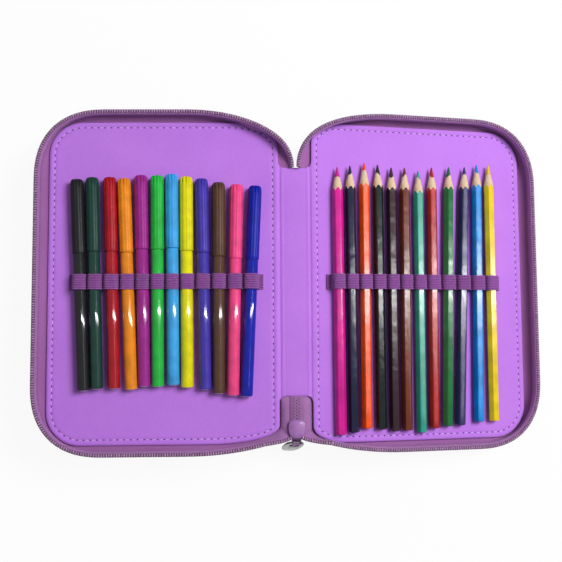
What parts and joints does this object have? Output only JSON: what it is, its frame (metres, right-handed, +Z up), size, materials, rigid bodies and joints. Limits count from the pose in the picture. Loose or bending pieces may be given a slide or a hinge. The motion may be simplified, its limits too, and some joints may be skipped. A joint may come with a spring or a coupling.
{
  "type": "double-decker pencil case",
  "caption": "Two-deck zipped pencil case lying open: pens under an elastic strip on the middle leaf, pencils on the tilted top leaf, and a closed lower deck below.",
  "frame": {"origin": "middle of the bounding box's underside, on the table", "axes": "+X across the open case from the lower deck to the top leaf, +Y towards the pen caps, +Z up"},
  "size_m": [0.3352, 0.2328, 0.0426],
  "materials": {
    "outer_fabric": "woven",
    "lining_fabric": "woven satin",
    "zip_tape": "woven",
    "zip_chain": "coiled nylon",
    "stiffening_board": "plain",
    "elastic": "ribbed",
    "slider_enamel": "satin",
    "pull": "satin",
    "black_pen_plastic": "glossy",
    "forest_pen_plastic": "glossy",
    "red_pen_plastic": "glossy",
    "orange_pen_plastic": "glossy",
    "plum_pen_plastic": "glossy",
    "green_pen_plastic": "glossy",
    "sky_pen_plastic": "glossy",
    "yellow_pen_plastic": "glossy",
    "violet_pen_plastic": "glossy",
    "brown_pen_plastic": "glossy",
    "pink_pen_plastic": "glossy",
    "blue_pen_plastic": "glossy",
    "magenta_pencil_paint": "lacquered",
    "navy_pencil_paint": "lacquered",
    "orange_pencil_paint": "lacquered",
    "bottle_pencil_paint": "lacquered",
    "mulberry_pencil_paint": "lacquered",
    "brown_pencil_paint": "lacquered",
    "teal_pencil_paint": "lacquered",
    "red_pencil_paint": "lacquered",
    "green_pencil_paint": "lacquered",
    "indigo_pencil_paint": "lacquered",
    "azure_pencil_paint": "lacquered",
    "yellow_pencil_paint": "lacquered"
  },
  "bodies": {
    "base_leaf": {"base_outer_cover": "outer_fabric", "base_lining": "lining_fabric", "base_tape_wall": "zip_tape", "base_zip_chain": "zip_chain"},
    "lower_spine": {"lower_spine": "outer_fabric"},
    "divider_leaf": {"divider_board": "stiffening_board", "divider_lower_lining": "lining_fabric", "divider_upper_lining": "lining_fabric", "divider_lower_tape_wall": "zip_tape", "divider_lower_zip_chain": "zip_chain", "divider_upper_tape_wall": "zip_tape", "divider_upper_zip_chain": "zip_chain", "pen_elastic": "elastic"},
    "upper_spine": {"upper_spine": "lining_fabric", "upper_zip_end": "zip_chain"},
    "top_leaf": {"top_outer_cover": "outer_fabric", "top_lining": "lining_fabric", "top_tape_wall": "zip_tape", "top_zip_chain": "zip_chain", "pencil_elastic": "elastic"},
    "upper_slider": {"upper_zip_slider": "slider_enamel"},
    "upper_pull": {"upper_zip_pull": "pull"},
    "lower_slider": {"lower_zip_slider": "slider_enamel"},
    "lower_pull": {"lower_zip_pull": "pull"},
    "black_pen": {"black_pen_barrel": "black_pen_plastic"},
    "black_cap": {"black_pen_cap": "black_pen_plastic"},
    "forest_pen": {"forest_pen_barrel": "forest_pen_plastic"},
    "forest_cap": {"forest_pen_cap": "forest_pen_plastic"},
    "red_pen": {"red_pen_barrel": "red_pen_plastic"},
    "red_cap": {"red_pen_cap": "red_pen_plastic"},
    "orange_pen": {"orange_pen_barrel": "orange_pen_plastic"},
    "orange_cap": {"orange_pen_cap": "orange_pen_plastic"},
    "plum_pen": {"plum_pen_barrel": "plum_pen_plastic"},
    "plum_cap": {"plum_pen_cap": "plum_pen_plastic"},
    "green_pen": {"green_pen_barrel": "green_pen_plastic"},
    "green_cap": {"green_pen_cap": "green_pen_plastic"},
    "sky_pen": {"sky_pen_barrel": "sky_pen_plastic"},
    "sky_cap": {"sky_pen_cap": "sky_pen_plastic"},
    "yellow_pen": {"yellow_pen_barrel": "yellow_pen_plastic"},
    "yellow_cap": {"yellow_pen_cap": "yellow_pen_plastic"},
    "violet_pen": {"violet_pen_barrel": "violet_pen_plastic"},
    "violet_cap": {"violet_pen_cap": "violet_pen_plastic"},
    "brown_pen": {"brown_pen_barrel": "brown_pen_plastic"},
    "brown_cap": {"brown_pen_cap": "brown_pen_plastic"},
    "pink_pen": {"pink_pen_barrel": "pink_pen_plastic"},
    "pink_cap": {"pink_pen_cap": "pink_pen_plastic"},
    "blue_pen": {"blue_pen_barrel": "blue_pen_plastic"},
    "blue_cap": {"blue_pen_cap": "blue_pen_plastic"},
    "magenta_pencil": {"magenta_pencil": "magenta_pencil_paint"},
    "navy_pencil": {"navy_pencil": "navy_pencil_paint"},
    "orange_pencil": {"orange_pencil": "orange_pencil_paint"},
    "bottle_pencil": {"bottle_pencil": "bottle_pencil_paint"},
    "mulberry_pencil": {"mulberry_pencil": "mulberry_pencil_paint"},
    "brown_pencil": {"brown_pencil": "brown_pencil_paint"},
    "teal_pencil": {"teal_pencil": "teal_pencil_paint"},
    "red_pencil": {"red_pencil": "red_pencil_paint"},
    "green_pencil": {"green_pencil": "green_pencil_paint"},
    "indigo_pencil": {"indigo_pencil": "indigo_pencil_paint"},
    "azure_pencil": {"azure_pencil": "azure_pencil_paint"},
    "yellow_pencil": {"yellow_pencil": "yellow_pencil_paint"}
  },
  "joints": [
    {"name": "lower_spine_fold", "type": "hinge", "parent": "base_leaf", "child": "lower_spine", "pos_m": [-0.00931, -0.00115, 0.0033], "axis": [0, 1, 0], "range_deg": [0, 75]},
    {"name": "divider_fold", "type": "hinge", "parent": "lower_spine", "child": "divider_leaf", "pos_m": [-0.00931, -0.00115, 0.0293], "axis": [0, 1, 0], "range_deg": [0, 75]},
    {"name": "upper_spine_fold", "type": "hinge", "parent": "divider_leaf", "child": "upper_spine", "pos_m": [-0.00931, -0.00115, 0.0331], "axis": [0, -1, 0], "range_deg": [0, 90], "deforming": ["upper_zip_end"]},
    {"name": "top_leaf_fold", "type": "hinge", "parent": "upper_spine", "child": "top_leaf", "pos_m": [0.01069, -0.00115, 0.0331], "axis": [0, -1, 0], "range_deg": [0, 101.41]},
    {"name": "upper_slider_run", "type": "slide", "parent": "upper_spine", "child": "upper_slider", "axis": [0, 1, 0], "range_m": [0, 0.01]},
    {"name": "upper_pull_swing", "type": "hinge", "parent": "upper_slider", "child": "upper_pull", "pos_m": [0.00069, -0.10605, 0.03052], "axis": [1, 0, 0], "range_deg": [-65, 115]},
    {"name": "lower_slider_run", "type": "slide", "parent": "divider_leaf", "child": "lower_slider", "axis": [-1, 0, 0], "range_m": [-0.029, 0.031]},
    {"name": "lower_pull_swing", "type": "hinge", "parent": "lower_slider", "child": "lower_pull", "pos_m": [-0.0679, 0.1142, 0.0163], "axis": [0, 0, 1], "range_deg": [0, 170]},
    {"name": "black_pen_slide", "type": "slide", "parent": "divider_leaf", "child": "black_pen", "axis": [-0.0454, 0.999, 0], "range_m": [-0.0065, 0.009]},
    {"name": "black_cap_pull", "type": "slide", "parent": "black_pen", "child": "black_cap", "axis": [-0.0454, 0.999, 0], "range_m": [0, 0.024]},
    {"name": "forest_pen_slide", "type": "slide", "parent": "divider_leaf", "child": "forest_pen", "axis": [-0.0349, 0.9994, 0], "range_m": [-0.0065, 0.009]},
    {"name": "forest_cap_pull", "type": "slide", "parent": "forest_pen", "child": "forest_cap", "axis": [-0.0349, 0.9994, 0], "range_m": [0, 0.024]},
    {"name": "red_pen_slide", "type": "slide", "parent": "divider_leaf", "child": "red_pen", "axis": [-0.0297, 0.9996, 0], "range_m": [-0.0065, 0.009]},
    {"name": "red_cap_pull", "type": "slide", "parent": "red_pen", "child": "red_cap", "axis": [-0.0297, 0.9996, 0], "range_m": [0, 0.024]},
    {"name": "orange_pen_slide", "type": "slide", "parent": "divider_leaf", "child": "orange_pen", "axis": [-0.0436, 0.999, 0], "range_m": [-0.0065, 0.009]},
    {"name": "orange_cap_pull", "type": "slide", "parent": "orange_pen", "child": "orange_cap", "axis": [-0.0436, 0.999, 0], "range_m": [0, 0.024]},
    {"name": "plum_pen_slide", "type": "slide", "parent": "divider_leaf", "child": "plum_pen", "axis": [-0.0244, 0.9997, 0], "range_m": [-0.0065, 0.009]},
    {"name": "plum_cap_pull", "type": "slide", "parent": "plum_pen", "child": "plum_cap", "axis": [-0.0244, 0.9997, 0], "range_m": [0, 0.024]},
    {"name": "green_pen_slide", "type": "slide", "parent": "divider_leaf", "child": "green_pen", "axis": [-0.0087, 1, 0], "range_m": [-0.0065, 0.009]},
    {"name": "green_cap_pull", "type": "slide", "parent": "green_pen", "child": "green_cap", "axis": [-0.0087, 1, 0], "range_m": [0, 0.024]},
    {"name": "sky_pen_slide", "type": "slide", "parent": "divider_leaf", "child": "sky_pen", "axis": [-0.0122, 0.9999, 0], "range_m": [-0.0065, 0.009]},
    {"name": "sky_cap_pull", "type": "slide", "parent": "sky_pen", "child": "sky_cap", "axis": [-0.0122, 0.9999, 0], "range_m": [0, 0.024]},
    {"name": "yellow_pen_slide", "type": "slide", "parent": "divider_leaf", "child": "yellow_pen", "axis": [-0.0087, 1, 0], "range_m": [-0.0065, 0.009]},
    {"name": "yellow_cap_pull", "type": "slide", "parent": "yellow_pen", "child": "yellow_cap", "axis": [-0.0087, 1, 0], "range_m": [0, 0.024]},
    {"name": "violet_pen_slide", "type": "slide", "parent": "divider_leaf", "child": "violet_pen", "axis": [-0.0209, 0.9998, 0], "range_m": [-0.0065, 0.009]},
    {"name": "violet_cap_pull", "type": "slide", "parent": "violet_pen", "child": "violet_cap", "axis": [-0.0209, 0.9998, 0], "range_m": [0, 0.024]},
    {"name": "brown_pen_slide", "type": "slide", "parent": "divider_leaf", "child": "brown_pen", "axis": [-0.0017, 1, 0], "range_m": [-0.0065, 0.009]},
    {"name": "brown_cap_pull", "type": "slide", "parent": "brown_pen", "child": "brown_cap", "axis": [-0.0017, 1, 0], "range_m": [0, 0.024]},
    {"name": "pink_pen_slide", "type": "slide", "parent": "divider_leaf", "child": "pink_pen", "axis": [0.0192, 0.9998, 0], "range_m": [-0.0065, 0.009]},
    {"name": "pink_cap_pull", "type": "slide", "parent": "pink_pen", "child": "pink_cap", "axis": [0.0192, 0.9998, 0], "range_m": [0, 0.024]},
    {"name": "blue_pen_slide", "type": "slide", "parent": "divider_leaf", "child": "blue_pen", "axis": [0.0454, 0.999, 0], "range_m": [-0.0065, 0.009]},
    {"name": "blue_cap_pull", "type": "slide", "parent": "blue_pen", "child": "blue_cap", "axis": [0.0454, 0.999, 0], "range_m": [0, 0.024]},
    {"name": "magenta_pencil_slide", "type": "slide", "parent": "top_leaf", "child": "magenta_pencil", "axis": [-0.0034, 1, 0.0007], "range_m": [-0.002, 0.02]},
    {"name": "navy_pencil_slide", "type": "slide", "parent": "top_leaf", "child": "navy_pencil", "axis": [-0.0034, 1, 0.0007], "range_m": [-0.002, 0.02]},
    {"name": "orange_pencil_slide", "type": "slide", "parent": "top_leaf", "child": "orange_pencil", "axis": [0.0017, 1, -0.0003], "range_m": [-0.002, 0.02]},
    {"name": "bottle_pencil_slide", "type": "slide", "parent": "top_leaf", "child": "bottle_pencil", "axis": [0, 1, 0], "range_m": [-0.002, 0.02]},
    {"name": "mulberry_pencil_slide", "type": "slide", "parent": "top_leaf", "child": "mulberry_pencil", "axis": [0.0017, 1, -0.0003], "range_m": [-0.002, 0.02]},
    {"name": "brown_pencil_slide", "type": "slide", "parent": "top_leaf", "child": "brown_pencil", "axis": [0.0068, 1, -0.0014], "range_m": [-0.002, 0.02]},
    {"name": "teal_pencil_slide", "type": "slide", "parent": "top_leaf", "child": "teal_pencil", "axis": [0.0051, 1, -0.001], "range_m": [-0.002, 0.02]},
    {"name": "red_pencil_slide", "type": "slide", "parent": "top_leaf", "child": "red_pencil", "axis": [0.0086, 1, -0.0017], "range_m": [-0.002, 0.02]},
    {"name": "green_pencil_slide", "type": "slide", "parent": "top_leaf", "child": "green_pencil", "axis": [0.0274, 0.9996, -0.0055], "range_m": [-0.002, 0.02]},
    {"name": "indigo_pencil_slide", "type": "slide", "parent": "top_leaf", "child": "indigo_pencil", "axis": [0.041, 0.9991, -0.0083], "range_m": [-0.002, 0.02]},
    {"name": "azure_pencil_slide", "type": "slide", "parent": "top_leaf", "child": "azure_pencil", "axis": [0.0154, 0.9999, -0.0031], "range_m": [-0.002, 0.02]},
    {"name": "yellow_pencil_slide", "type": "slide", "parent": "top_leaf", "child": "yellow_pencil", "axis": [0.0034, 1, -0.0007], "range_m": [-0.002, 0.02]}
  ],
  "couplings": [
    {"joint": "lower_spine_fold", "follows": "divider_fold", "ratio": 1}
  ]
}
